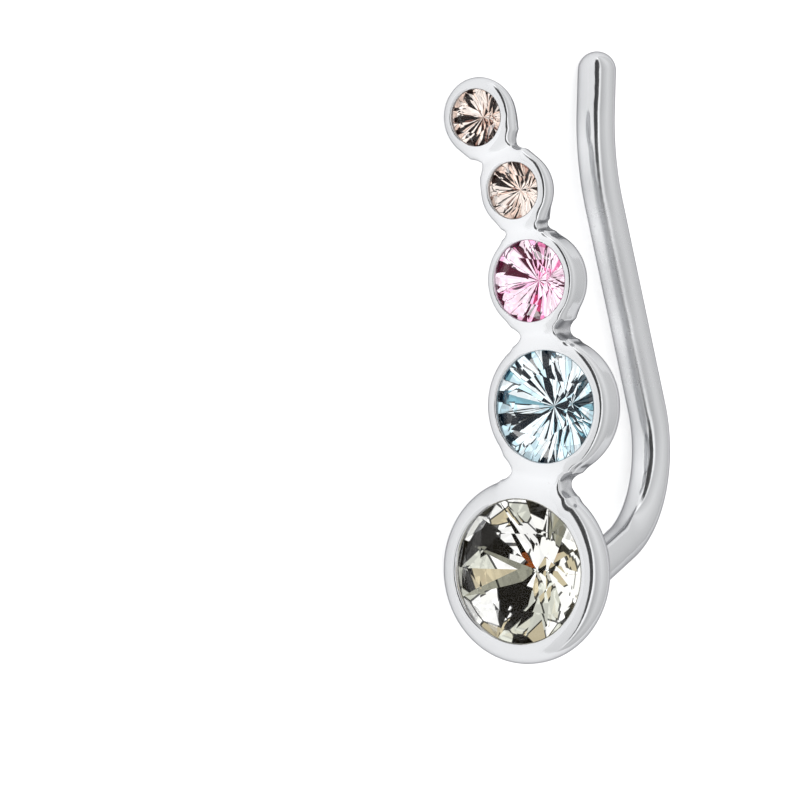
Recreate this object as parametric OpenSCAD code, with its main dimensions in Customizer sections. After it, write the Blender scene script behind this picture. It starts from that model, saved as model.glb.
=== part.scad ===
// Ear climber for one ear. Five round bezels stand in a rising curve, each holds a cut
// stone, and a wire hook is soldered behind the lowest one. It lies on its side, as it
// would by itself on a table.

/* [Bezels] */
// Outer diameter of the two small bezels at the top
small_bezel_d = 2.8; // [2.7:0.01:2.95]
// Outer diameter of the third bezel
third_bezel_d = 3.5; // [3.3:0.01:3.7]
// Outer diameter of the fourth bezel
fourth_bezel_d = 4.84; // [4.6:0.01:5.1]
// Outer diameter of the large bezel at the bottom
large_bezel_d = 6.45; // [6:0.01:6.9]
// Width of a small bezel's lip, from the stone's edge to the outside
small_lip_w = 0.42; // [0.38:0.01:0.48]
// Width of the third bezel's lip
third_lip_w = 0.34; // [0.3:0.01:0.42]
// Width of the fourth bezel's lip
fourth_lip_w = 0.48; // [0.42:0.01:0.56]
// Width of the large bezel's lip
large_lip_w = 0.74; // [0.64:0.01:0.84]
// Depth of the small bezels' upright wall
small_wall_depth = 0.65; // [0.6:0.01:0.75]
// Depth of the third bezel's upright wall
third_wall_depth = 1.2; // [1.1:0.05:1.3]
// Depth of the fourth bezel's upright wall
fourth_wall_depth = 1.25; // [1.15:0.05:1.4]
// Depth of the large bezel's upright wall
large_wall_depth = 1.05; // [0.95:0.05:1.2]
// Share of a lip's width that its outer rounding takes
outer_round_share = 0.8; // [0.7:0.01:0.85]
// Height of the thin edge that bounds the stone
lip_edge_h = 0.06; // [0.04:0.01:0.1]
// Metal left behind a stone's point
floor_t = 0.3; // [0.2:0.05:0.5]
// Angle between a bezel's tapering back and its axis
back_taper = 50; // [40:1:52]
// Rounding between the upright wall and the back
back_round = 0.3; // [0.1:0.05:0.4]

/* [Row] */
// Lean of the line from the large bezel to the fourth
fourth_lean = 15.1; // [10:0.1:20]
// Lean of the line from the fourth bezel to the third
third_lean = -3.7; // [-9:0.1:1]
// Lean of the line from the third bezel to the second
second_lean = -7.5; // [-14:0.1:-3]
// Lean of the line from the second bezel to the first
first_lean = -26.5; // [-32:0.1:-20]
// Space between the outsides of the large and the fourth bezel
fourth_space = 0.17; // [0.1:0.01:0.3]
// Space between the outsides of the fourth and the third bezel
third_space = 0.2; // [0.1:0.01:0.3]
// Space between the outsides of the third and the second bezel
second_space = 0.03; // [0.02:0.01:0.15]
// Space between the outsides of the second and the first bezel
first_space = 0.11; // [0.05:0.01:0.2]
// Width of the neck below the fourth bezel
fourth_neck_w = 2; // [1.7:0.05:2.3]
// Width of the neck below the third bezel
third_neck_w = 1.42; // [1.2:0.02:1.7]
// Width of the neck below the second bezel
second_neck_w = 1.2; // [1:0.02:1.4]
// Width of the neck below the first bezel
first_neck_w = 1.36; // [1.1:0.02:1.5]
// Depth of the neck below the fourth bezel, from the lips to its back
fourth_neck_depth = 1.3; // [1.2:0.05:1.5]
// Depth of the neck below the third bezel
third_neck_depth = 1.5; // [1.3:0.05:1.7]
// Depth of the neck below the second bezel
second_neck_depth = 1.2; // [1:0.05:1.3]
// Depth of the neck below the first bezel
first_neck_depth = 0.9; // [0.8:0.05:1.1]
// How far the necks' faces lie behind the lips
neck_drop = 0.16; // [0.1:0.01:0.25]

/* [Stones] */
// How far a stone's rim reaches under the lip
seat_overlap = 0.08; // [0.05:0.01:0.12]
// Gap between a stone and its cup
seat_gap = 0.04; // [0.03:0.005:0.06]
// Table's width as a share of the stone's
table_share = 0.56; // [0.5:0.01:0.62]
// Angle of the facets round the table
crown_angle = 28; // [24:1:32]
// Angle of the facets that run to the point
pavilion_angle = 40; // [37:0.5:42]
// Height of a stone's rim
girdle_h = 0.09; // [0.06:0.01:0.14]

/* [Hook] */
// Diameter of the hook's wire
wire_d = 1.34; // [1.2:0.01:1.45]
// Sideways place of the hook on the back of the large bezel
hook_x = 0.48; // [0.3:0.02:0.8]
// How far below the large bezel's middle the hook leaves it
hook_start_drop = 0.78; // [0.5:0.02:1.1]
// Rise of the leg that leaves the bezel
leg_rise = 22; // [18:0.5:26]
// Length of that leg
leg_l = 3.8; // [3.4:0.05:4.3]
// Radius of the lower bend
lower_bend_r = 3.8; // [3.4:0.05:4.2]
// Lean of the long stretch towards the bezels
long_lean = 17.8; // [15:0.1:19]
// Length of the long stretch
long_l = 7.55; // [7:0.05:8.2]
// Radius of the upper bend
upper_bend_r = 7.3; // [6:0.1:8]
// Lean of the tip away from the bezels
tip_lean = 8.2; // [4:0.1:11]
// Length of the tip's straight stretch
tip_l = 1.4; // [1.2:0.05:2]
// Lean of the whole hook to the side
side_lean = 1.45; // [1:0.05:2]

/* [Hidden] */
$fn = 96;

silver = [0.83, 0.84, 0.86];
peach = [0.93, 0.81, 0.75];
pink = [0.95, 0.6, 0.75];
aqua = [0.7, 0.86, 0.93];
smoke = [0.7, 0.71, 0.64];

// Everything is drawn in the picture's frame: X to the right, Y up along the row, Z towards
// the viewer, with the lips' crests at Z = 0 and the large bezel's middle at X = Y = 0. The
// bezels count from the top.
top = 0;
bezel_r = [small_bezel_d, small_bezel_d, third_bezel_d, fourth_bezel_d, large_bezel_d] / 2;
last = len(bezel_r) - 1;
lip_w = [small_lip_w, small_lip_w, third_lip_w, fourth_lip_w, large_lip_w];
wall_depth = [small_wall_depth, small_wall_depth, third_wall_depth, fourth_wall_depth, large_wall_depth];

// How far each stone is turned in its cup
stone_turn = [8, 8, 14, 4, 17];

// Row of each neck: the bezel above it, and its lean, space, width and depth.
neck_lean = [first_lean, second_lean, third_lean, fourth_lean];
neck_space = [first_space, second_space, third_space, fourth_space];
neck_w = [first_neck_w, second_neck_w, third_neck_w, fourth_neck_w];
neck_depth = [first_neck_depth, second_neck_depth, third_neck_depth, fourth_neck_depth];

function neck_way(i) = [sin(neck_lean[i]), cos(neck_lean[i])];
function bezel_at(i) = i == last
    ? [0, 0]
    : bezel_at(i + 1) + (bezel_r[i] + neck_space[i] + bezel_r[i + 1]) * neck_way(i);

// Cut of the stones: how often it repeats, and its inner corners as shares of a stone's radius
cut_turns = 8;
half_turn = 180 / cut_turns;
star_share = 0.78;
half_share = 0.24;
star_rise = (1 - star_share * cos(half_turn)) * tan(crown_angle);
rim_slope = star_rise / (1 - star_share);

// Sizes of a bezel and its stone. Depths count from the lip's crest.
function hole_r(i) = bezel_r[i] - lip_w[i];
function stone_r(i) = hole_r(i) + seat_overlap;
function outer_round(i) = outer_round_share * lip_w[i];
function inner_round(i) = lip_w[i] - outer_round(i);
function rim_depth(i) = inner_round(i) + lip_edge_h + (seat_overlap + seat_gap) * rim_slope + seat_gap;
function half_fall(i) = (1 - half_share * cos(half_turn)) * stone_r(i) * tan(pavilion_angle);
function point_depth(i) = rim_depth(i) + girdle_h + stone_r(i) * tan(pavilion_angle);
function cup_depth(i) = point_depth(i) + seat_gap + floor_t;
function back_r(i) = bezel_r[i] - (cup_depth(i) - wall_depth[i]) * tan(back_taper);

rounding_steps = 6;
function arc(middle, r, from, to, steps = rounding_steps) =
    [for (k = [0:steps])
        let (angle = from + (to - from) * k / steps)
        middle + r * [cos(angle), sin(angle)]];

// Half section of a bezel before its pocket is cut, from the axis at the back round to the front
function bezel_outline(i) = concat(
    [[0, -cup_depth(i)], [back_r(i), -cup_depth(i)]],
    arc([bezel_r[i] - back_round, back_round * tan(back_taper / 2) - wall_depth[i]],
        back_round, -back_taper, 0),
    arc([bezel_r[i] - outer_round(i), -outer_round(i)], outer_round(i), 0, 90),
    arc([hole_r(i) + inner_round(i), -inner_round(i)], inner_round(i), 90, 180),
    [[0, -inner_round(i)]]);

// Half section of the pocket: it follows the stone's back, holds its rim and opens to the front.
function pocket_outline(i) =
    let (r = stone_r(i) + seat_gap,
         low = -rim_depth(i) - girdle_h,
         high = seat_gap - rim_depth(i))
    [[0, -point_depth(i) - seat_gap],
     [half_share * stone_r(i) + seat_gap, low - half_fall(i)],
     [r, low],
     [r, high],
     [hole_r(i), high + (r - hole_r(i)) * rim_slope],
     [hole_r(i), lip_w[i]],
     [0, lip_w[i]]];

module bezel(i) {
    translate(bezel_at(i))
        rotate_extrude()
            polygon(bezel_outline(i));
}

module pocket(i) {
    translate(bezel_at(i))
        rotate_extrude()
            polygon(pocket_outline(i));
}

// A neck is a web between two bezels. Two round cuts narrow it to its width, and each is a
// little wider than a fillet between the smaller bezel and the web would be.
fillet_excess = 1.15;
function neck_round(i) =
    let (r = bezel_r[i], s = neck_space[i], w = neck_w[i])
    fillet_excess * (r * s + s * s / 4 + w * w / 4) / (2 * r - w);

module neck(i) {
    waist = bezel_at(i) - (bezel_r[i] + neck_space[i] / 2) * neck_way(i);
    cut_r = neck_round(i);
    half_w = neck_w[i] / 2;
    translate([waist.x, waist.y, -neck_depth[i]])
        rotate([0, 0, -neck_lean[i]])
            linear_extrude(neck_depth[i] - neck_drop)
                difference() {
                    translate([-half_w - cut_r / 2, -bezel_r[i + 1] / 2])
                        square([2 * half_w + cut_r, (bezel_r[i] + bezel_r[i + 1]) / 2]);
                    for (side = [-1, 1])
                        translate([side * (half_w + cut_r), 0])
                            circle(cut_r);
                }
}

// The hook's route lies in a plane: how far behind the lips, then how high. Its root is let
// into the bezel's back. A bend is drawn a hair thinner than the straight stretches, and these
// reach a little way into it, so that each meets the next in a true edge.
wire_r = wire_d / 2;
bend_step = 0.002;
joint_lap = 0.02;
bend_wire_r = wire_r - bend_step;
long_heading = 90 + long_lean;
tip_heading = 90 - tip_lean;
function ahead(heading) = [cos(heading), sin(heading)];
function leftward(heading) = [-sin(heading), cos(heading)];
hook_start = [cup_depth(last) - floor_t / 2, -hook_start_drop];
leg_root = hook_start - wire_r * ahead(leg_rise);
leg_end = hook_start + leg_l * ahead(leg_rise);
lower_middle = leg_end + lower_bend_r * leftward(leg_rise);
lower_end = lower_middle - lower_bend_r * leftward(long_heading);
long_end = lower_end + long_l * ahead(long_heading);
upper_middle = long_end - upper_bend_r * leftward(long_heading);
upper_end = upper_middle + upper_bend_r * leftward(tip_heading);
tip_end = upper_end + tip_l * ahead(tip_heading);

module straight(from, heading, length) {
    translate(from - joint_lap * ahead(heading))
        rotate([0, 90, heading])
            cylinder(h = length + 2 * joint_lap, r = wire_r);
}

module bend(middle, r, from, to) {
    translate(middle)
        rotate_extrude(angle = to - from, start = from)
            translate([r, 0])
                circle(bend_wire_r);
}

// The tip's straight stretch, with a domed end
module tip() {
    translate(upper_end)
        rotate([0, 90, tip_heading])
            rotate_extrude()
                polygon(concat([[0, -joint_lap], [wire_r, -joint_lap]], arc([0, tip_l], wire_r, 0, 90)));
}

module hook() {
    translate([hook_x, 0, 0])
        rotate([0, 90, -side_lean]) {
            straight(leg_root, leg_rise, wire_r + leg_l);
            bend(lower_middle, lower_bend_r, leg_rise - 90, long_heading - 90);
            straight(lower_end, long_heading, long_l);
            bend(upper_middle, upper_bend_r, tip_heading + 90, long_heading + 90);
            tip();
        }
}

// Rest. The part lies on three places: the walls of the large and the top bezel, and the
// outside of the hook's lower bend. The plane through them is found in a few rounds, because
// each place moves a little as the plane turns.
function in_picture(p) =
    [hook_x + p.y * sin(side_lean), p.y * cos(side_lean), -p.x];
lower_bend = arc(lower_middle, lower_bend_r, leg_rise - 90, long_heading - 90, $fn);
hook_route = [for (p = concat(lower_bend, [long_end, upper_end, tip_end])) in_picture(p)];

function unit(v) = v / norm(v);
function farthest(points, way) =
    let (reach = [for (p = points) p * way])
    points[search(max(reach), reach)[0]];
function bezel_touch(i, way) =
    let (at = bezel_at(i), flat = unit([way.x, way.y]))
    farthest([for (p = bezel_outline(i)) [at.x + p.x * flat.x, at.y + p.x * flat.y, p.y]], way);
function hook_touch(way) = farthest(hook_route, way) + bend_wire_r * way;

rest_rounds = 12;
function settled(up, rounds) =
    let (a = bezel_touch(last, -up), b = bezel_touch(top, -up), c = hook_touch(-up))
    rounds < 1 ? up : settled(unit(cross(c - a, b - a)), rounds - 1);
rest_up = settled([1, 0, 0], rest_rounds);

// Axes of the part's own frame, as they lie in the picture's frame: X runs to the large
// bezel, Z is up, and the stones look towards -Y.
rest_x = unit([0, -1, 0] + rest_up.y * rest_up);
rest_y = cross(rest_up, rest_x);

function reach(way) = max(concat(
    [for (i = [top:last]) bezel_touch(i, way) * way],
    [hook_touch(way) * way]));
origin = (reach(rest_x) - reach(-rest_x)) / 2 * rest_x
    + (reach(rest_y) - reach(-rest_y)) / 2 * rest_y
    - reach(-rest_up) * rest_up;

module at_rest() {
    multmatrix([for (way = [rest_x, rest_y, rest_up])
                    [way.x, way.y, way.z, -way * origin]])
        children();
}

// A round brilliant: a table, 8 stars, 8 kites, 16 halves round the rim, the rim, then
// 16 halves and 8 mains that run to the point.
function ring(r, z, turn, count) =
    [for (k = [0:count - 1]) [r * cos(turn + 360 * k / count), r * sin(turn + 360 * k / count), z]];

module stone(i) {
    r = stone_r(i);
    rim = -rim_depth(i);
    low = rim - girdle_h;
    table_rise = (1 - table_share) * r * tan(crown_angle);
    points = concat(
        ring(table_share * r, rim + table_rise, 0, cut_turns),
        ring(star_share * r, rim + star_rise * r, half_turn, cut_turns),
        ring(r, rim, 0, 2 * cut_turns),
        ring(r, low, 0, 2 * cut_turns),
        ring(half_share * r, low - half_fall(i), half_turn, cut_turns),
        [[0, 0, -point_depth(i)]]);
    star = cut_turns;
    upper = star + cut_turns;
    lower = upper + 2 * cut_turns;
    half = lower + 2 * cut_turns;
    point = half + cut_turns;
    faces = concat(
        [[for (k = [cut_turns - 1:-1:0]) k]],
        [for (k = [0:cut_turns - 1])
            let (n = (k + 1) % cut_turns, b = (k + cut_turns - 1) % cut_turns,
                 g = 2 * k, h = 2 * k + 1, j = (2 * k + 2) % (2 * cut_turns))
            each [
                [k, n, star + k],
                [k, star + k, upper + g, star + b],
                [star + k, upper + h, upper + g],
                [star + k, upper + j, upper + h],
                [upper + g, upper + h, lower + h, lower + g],
                [upper + h, upper + j, lower + j, lower + h],
                [lower + g, lower + h, half + k],
                [lower + h, lower + j, half + k],
                [lower + g, half + k, point, half + b]
            ]]);
    translate(bezel_at(i))
        rotate([0, 0, stone_turn[i]])
            polyhedron(points, faces);
}

module setting_and_hook() {
    color(silver)
        at_rest()
            difference() {
                union() {
                    for (i = [top:last])
                        bezel(i);
                    for (i = [top:last - 1])
                        neck(i);
                    hook();
                }
                for (i = [top:last])
                    pocket(i);
            }
}

module stone_1() {
    color(peach)
        at_rest()
            stone(top);
}

module stone_2() {
    color(peach)
        at_rest()
            stone(top + 1);
}

module stone_3() {
    color(pink)
        at_rest()
            stone(top + 2);
}

module stone_4() {
    color(aqua)
        at_rest()
            stone(last - 1);
}

module stone_5() {
    color(smoke)
        at_rest()
            stone(last);
}

setting_and_hook();
stone_1();
stone_2();
stone_3();
stone_4();
stone_5();
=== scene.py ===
"""Ear climber: five cut stones in a rising row of silver bezels, with a wire hook behind them."""
from collections import namedtuple
from math import atan2, cos, pi, radians, sin, tan

import bpy
import numpy as np
from bpy.props import (CollectionProperty, FloatProperty, FloatVectorProperty, IntProperty,
                       PointerProperty, StringProperty)
from bpy.types import Operator, Panel, PropertyGroup
from mathutils import Matrix, Vector


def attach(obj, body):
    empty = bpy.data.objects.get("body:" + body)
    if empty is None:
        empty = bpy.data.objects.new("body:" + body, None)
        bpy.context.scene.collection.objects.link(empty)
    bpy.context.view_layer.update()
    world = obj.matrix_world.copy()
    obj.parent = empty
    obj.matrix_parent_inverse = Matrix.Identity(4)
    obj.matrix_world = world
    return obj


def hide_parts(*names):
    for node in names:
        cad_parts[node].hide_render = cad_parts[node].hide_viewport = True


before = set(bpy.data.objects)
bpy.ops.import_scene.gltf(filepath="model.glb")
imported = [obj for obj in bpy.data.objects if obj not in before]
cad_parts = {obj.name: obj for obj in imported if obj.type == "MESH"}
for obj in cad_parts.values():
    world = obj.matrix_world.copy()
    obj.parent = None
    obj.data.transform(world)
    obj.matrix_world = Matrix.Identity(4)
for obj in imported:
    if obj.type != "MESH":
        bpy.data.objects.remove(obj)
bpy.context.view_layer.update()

bl_info = {
    "name": "Ear Climber",
    "version": (1, 0, 0),
    "blender": (4, 5, 0),
    "location": "3D View > Sidebar > Ear Climber",
    "description": "Builds an ear climber of five bezels, their stones and a wire hook",
    "category": "Add Mesh",
}

MM = 0.001

# The bezels lie in one plane, and the whole part rests on its side. These are that plane's
# directions to the right, up the row and towards the viewer, and the middle of the large
# bezel's lip, in the part's own frame.
RIGHT = Vector((-0.0841882, 0.330118, 0.940178))
ALONG = Vector((-0.996015, 0.0, -0.0891881))
NEAR = Vector((-0.0294426, -0.94394, 0.328802))
MIDDLE = Vector((7.20834, -4.06809, 3.36132)) * MM

# One row for each bezel, from the top. Lengths are in millimetres and angles in degrees. The
# lean, space, neck width and neck depth are those of the neck below it.
Row = namedtuple("Row", "name diameter lip wall lean space neck deep glass node slot turn "
                        "cut_seed fire_seed")
ROWS = (
    Row("First", 2.8, 0.42, 0.65, -26.5, 0.11, 1.36, 0.9, "Peach",
        "stone_1", "peach_stone", 8, 31, 56),
    Row("Second", 2.8, 0.42, 0.65, -7.5, 0.03, 1.2, 1.2, "Peach",
        "stone_2", "peach_stone", 8, 12, 74),
    Row("Third", 3.5, 0.34, 1.2, -3.7, 0.2, 1.42, 1.5, "Pink",
        "stone_3", "pink_stone", 14, 33, 33),
    Row("Fourth", 4.84, 0.48, 1.25, 15.1, 0.17, 2.0, 1.3, "Aqua",
        "stone_4", "aqua_stone", 4, 24, 54),
    Row("Large", 6.45, 0.74, 1.05, 0.0, 0.0, 0.0, 0.0, "Smoke",
        "stone_5", "smoke_stone", 17, 25, 45),
)

# One row for each kind of glass: how strongly it bends light, whether its fires run outwards,
# how many it shows round and outwards, the share of them that is dark, its colours from dark
# to bright, and the share and colours of its rare flashes. The fires are painted on the foil:
# painted reflections, glints and shade, which also glow
Glass = namedtuple("Glass", "name bend rays round out dark black deep middle pale bright rare "
                            "flash spark")
GLASSES = (
    Glass("Peach", 2.0, 1.0, 11, 2.2, 0.17, (0.01, 0.004, 0.003), (0.19, 0.08, 0.06),
          (0.5, 0.31, 0.25), (0.82, 0.64, 0.55), (0.98, 0.88, 0.82), 0.08, (0.3, 0.12, 0.11),
          (0.12, 0.05, 0.07)),
    Glass("Pink", 1.9, 1.0, 13, 2.0, 0.13, (0.07, 0.004, 0.02), (0.45, 0.03, 0.12),
          (0.85, 0.22, 0.45), (1.0, 0.56, 0.78), (1.0, 0.82, 0.92), 0.04, (0.85, 0.26, 0.08),
          (0.95, 0.4, 0.12)),
    Glass("Aqua", 2.2, 1.0, 15, 1.5, 0.22, (0.002, 0.006, 0.012), (0.02, 0.07, 0.11),
          (0.2, 0.42, 0.5), (0.64, 0.83, 0.91), (0.9, 0.97, 1.0), 0.05, (0.22, 0.34, 0.6),
          (1.0, 1.0, 1.0)),
    Glass("Smoke", 1.6, 0.0, 2.3, 2.3, 0.25, (0.006, 0.005, 0.003), (0.05, 0.048, 0.033),
          (0.24, 0.24, 0.19), (0.6, 0.61, 0.54), (0.98, 0.98, 0.96), 0.07, (0.56, 0.49, 0.33),
          (0.19, 0.045, 0.007)),
)


def length(name, description, default_mm):
    return FloatProperty(name=name, description=description, default=default_mm * MM,
                         min=0.0, precision=5, unit="LENGTH")


def angle(name, description, default_degrees):
    return FloatProperty(name=name, description=description, default=radians(default_degrees),
                         subtype="ANGLE", unit="ROTATION")


def share(name, description, default):
    return FloatProperty(name=name, description=description, default=default, min=0.0, max=1.0,
                         subtype="FACTOR")


def colour(name, description, default):
    return FloatVectorProperty(name=name, description=description, default=default, size=3,
                               min=0.0, max=1.0, subtype="COLOR")


class ClimberBezel(PropertyGroup):
    """A bezel, the stone in it and the neck below it"""
    name: StringProperty(name="Name", description="Place of the bezel in the row",
                         default="Bezel")
    diameter: length("Diameter", "Outer diameter of the bezel", 5.0)
    lip: length("Lip", "Width of the lip round the stone", 0.6)
    wall: length("Wall Depth", "Depth of the upright wall", 1.4)
    lean: angle("Lean", "Lean of the line from the bezel below", 0.0)
    space: length("Space", "Space to the bezel below", 0.1)
    neck: length("Neck Width", "Width of the neck below", 1.5)
    deep: length("Neck Depth", "Depth of the neck below, from the lips to its back", 1.2)
    turn: angle("Stone Turn", "How far the stone is turned in its cup", 8.0)
    glass: StringProperty(name="Glass", description="Kind of glass that the stone is cut from",
                          default="Smoke")
    cut_seed: IntProperty(name="Cut Seed", description="Seed of the shades of the facets",
                          default=1)
    fire_seed: IntProperty(name="Fire Seed", description="Seed of the dark and bright fires",
                           default=1)
    node: StringProperty(name="Stone", description="The stone that the bezel holds",
                         default="stone_5")
    slot: StringProperty(name="Finish", description="Finish of the stone",
                         default="smoke_stone")


class ClimberShape(PropertyGroup):
    """Sizes that all bezels and stones share, and those of the hook"""
    outer_share: share("Outer Rounding", "Share of a lip that its outer rounding takes", 0.8)
    lip_edge: length("Lip Edge", "Height of the thin edge round a stone", 0.06)
    floor: length("Floor", "Metal left behind a stone's point", 0.3)
    taper: angle("Back Taper", "Angle between a bezel's back and its axis", 50.0)
    back_round: length("Back Rounding", "Rounding between wall and back", 0.3)
    neck_drop: length("Neck Drop", "How far the necks lie behind the lips", 0.16)
    solder: length("Solder Fillet", "Fillet where the hook is soldered on", 0.45)
    blend: length("Neck Fillet", "Fillet between necks and bezels", 0.36)
    crevice: length("Crevice Fillet", "Fillet where two bezels nearly touch", 0.3)
    overlap: length("Seat Overlap", "How far a stone reaches under the lip", 0.08)
    gap: length("Seat Gap", "Gap between a stone and its cup", 0.04)
    table: share("Table", "Table's share of a stone's width", 0.56)
    crown: angle("Crown Angle", "Angle of the facets round the table", 28.0)
    pavilion: angle("Pavilion Angle", "Angle of the facets that run to the point", 40.0)
    girdle: length("Girdle", "Height of a stone's rim", 0.09)
    cut: IntProperty(name="Cut", description="How often a stone's cut repeats", default=8, min=3)
    wire: length("Wire", "Diameter of the hook's wire", 1.34)
    hook_x: length("Hook Offset", "Sideways place of the hook", 0.48)
    hook_drop: length("Hook Drop", "How far below the middle the hook starts", 0.78)
    leg_rise: angle("Leg Rise", "Rise of the leg that leaves the bezel", 22.0)
    leg: length("Leg", "Length of that leg", 3.8)
    lower_bend: length("Lower Bend", "Radius of the lower bend", 3.8)
    long_lean: angle("Long Lean", "Lean of the long stretch", 17.8)
    long: length("Long Stretch", "Length of the long stretch", 7.55)
    upper_bend: length("Upper Bend", "Radius of the upper bend", 7.3)
    tip_lean: angle("Tip Lean", "Lean of the tip", 8.2)
    tip: length("Tip", "Length of the tip's straight stretch", 1.4)
    side_lean: angle("Side Lean", "Lean of the whole hook to the side", 1.45)
    grain: length("Mesh Size", "Size of the metal's mesh cells", 0.074)


class ClimberGlass(PropertyGroup):
    """A kind of glass: its colours, and how its foil breaks up the light in painted fires: painted
    reflections, glints and shade
    """
    name: StringProperty(name="Name", description="Name of the glass", default="Glass")
    bend: FloatProperty(name="Bend", description="How strongly the glass bends light",
                        default=1.6, min=1.0)
    rays: share("Rays", "1 for fires that run outwards, 0 for fires in all directions", 1.0)
    dark: share("Dark Share", "Share of the fires that is dark", 0.26)
    round: FloatProperty(name="Fires Round", description="Fires in a half turn, or sideways",
                         default=7.0, min=0.1)
    out: FloatProperty(name="Fires Out", description="Fires from the middle out, or upwards",
                       default=3.0, min=0.1)
    black: colour("Dark", "Colour of the dark fires", (0.0, 0.0, 0.0))
    deep: colour("Deep", "Colour of the deep fires", (0.2, 0.2, 0.2))
    middle: colour("Middle", "Colour of the middling fires", (0.4, 0.4, 0.4))
    pale: colour("Pale", "Colour of the pale fires", (0.7, 0.7, 0.7))
    bright: colour("Bright", "Colour of the bright fires", (0.95, 0.95, 0.95))
    rare: share("Flash Share", "Share of the fires that flashes", 0.05)
    flash: colour("Flash", "Colour of the rare flashes", (1.0, 0.5, 0.3))
    spark: colour("Spark", "Colour of the rarest flashes", (1.0, 0.5, 0.3))


class ClimberFinish(PropertyGroup):
    """Colours of the metal and the stage"""
    silver: colour("Silver", "Colour of the polished silver", (0.60, 0.607, 0.62))
    edge: colour("Silver Edge", "Tint of the silver where it turns away", (0.36, 0.36, 0.37))
    floor: colour("Floor", "Colour of the floor", (0.9, 0.9, 0.9))
    glow: share("Floor Glow", "Light that the floor gives by itself", 0.5)
    light: FloatProperty(name="Light", description="Strength of the tent's light", default=1.5,
                         min=0.0)
    view_turn: angle("View Turn", "Turn of the view away from the bezels' front", 31.5)
    view_roll: angle("View Roll", "Lean of the row in the view", 3.8)
    view_distance: FloatProperty(name="View Distance", description="Distance of the camera",
                                 default=0.5, min=0.1, unit="LENGTH")


class ClimberSettings(PropertyGroup):
    """All that the ear climber is built from"""
    bezels: CollectionProperty(type=ClimberBezel, name="Bezels",
                               description="The bezels from the top of the row down")
    glasses: CollectionProperty(type=ClimberGlass, name="Glasses",
                                description="The kinds of glass that the stones are cut from")
    shape: PointerProperty(type=ClimberShape, name="Shape",
                           description="Sizes that the bezels share, and the hook's")
    finish: PointerProperty(type=ClimberFinish, name="Finish",
                            description="Colours of the metal and the stage")


# ---- The metal as a distance field, in millimetres, in the bezels' plane ----

# How far out a stone's corners lie between table and rim, and halfway down its back, as shares
# of its radius
STAR = 0.78
HALF = 0.24
# Roundings of a neck's front and back edges
NECK_EDGE = 0.14
NECK_BACK = 0.4
# How much rounder a neck's side cuts are than the circle that just touches both bezels
FILLET_EXCESS = 1.15


def rounded_cut(a, b, r):
    """What lies in both a and b, with the edge between them rounded"""
    return np.minimum(np.maximum(a + r, b + r), 0) - r + np.hypot(np.maximum(a + r, 0),
                                                                  np.maximum(b + r, 0))


def filleted(a, b, r):
    """a and b together, with a fillet between them"""
    return np.maximum(np.minimum(a - r, b - r), 0) + r - np.hypot(np.maximum(r - a, 0),
                                                                  np.maximum(r - b, 0))


def tilted(x, z, x0, z0, steepness):
    """Distance from a slope through x0, z0 that falls to the back as x shrinks"""
    return (x - x0) * sin(steepness) - (z - z0) * cos(steepness)


class Bezel:
    """Sizes of one bezel in millimetres, worked out from its row"""

    def __init__(self, item, shape, middle):
        self.x, self.y = middle
        self.r, lip, self.wall = item.diameter / MM / 2, item.lip / MM, item.wall / MM
        self.hole = self.r - lip
        self.outer = shape.outer_share * lip
        self.inner = lip - self.outer
        self.gap, self.girdle = shape.gap / MM, shape.girdle / MM
        self.stone = self.hole + shape.overlap / MM
        half = pi / shape.cut
        self.rim_slope = (1 - STAR * cos(half)) * tan(shape.crown) / (1 - STAR)
        self.rim = (self.inner + shape.lip_edge / MM + self.gap
                    + (shape.overlap / MM + self.gap) * self.rim_slope)
        self.half_fall = (1 - HALF * cos(half)) * self.stone * tan(shape.pavilion)
        self.point = self.rim + self.girdle + self.stone * tan(shape.pavilion)
        self.depth = self.point + self.gap + shape.floor / MM

    def body(self, x, y, z, shape):
        """Distance from the bezel without its mouth and seat"""
        r = np.hypot(x - self.x, y - self.y)
        front = rounded_cut(r - self.r, z, self.outer)
        slope = tilted(r, z, self.r, -self.wall, pi / 2 - shape.taper)
        back = rounded_cut(front, slope, shape.back_round / MM)
        return rounded_cut(back, -z - self.depth, shape.back_round / MM)

    def hollow(self, metal, x, y, z):
        """The metal with the bezel's round-edged mouth and the stone's seat cut out"""
        r = np.hypot(x - self.x, y - self.y)
        mouth = np.maximum(r - self.hole, -z - self.rim - self.gap)
        metal = rounded_cut(metal, -mouth, self.inner)
        low = -self.rim - self.girdle
        rim_r = self.stone + self.gap
        half_r = HALF * self.stone + self.gap
        seat = np.maximum(r - rim_r, z - (self.gap - self.rim) - (rim_r - r) * self.rim_slope)
        seat = np.maximum(seat, tilted(r, z, rim_r, low, atan2(self.half_fall, rim_r - half_r)))
        seat = np.maximum(seat, tilted(r, z, half_r, low - self.half_fall, atan2(
            self.point + self.gap + low - self.half_fall, half_r)))
        return np.maximum(metal, -seat)


def bezels_of(settings):
    """The bezels from the top down, each placed by the lean and space above the one below it"""
    items = list(settings.bezels)
    place, made = (0.0, 0.0), []
    for i in reversed(range(len(items))):
        if made:
            step = (items[i].diameter / 2 + items[i].space + items[i + 1].diameter / 2) / MM
            place = (place[0] + step * sin(items[i].lean), place[1] + step * cos(items[i].lean))
        made.append(Bezel(items[i], settings.shape, place))
    return made[::-1]


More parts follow.
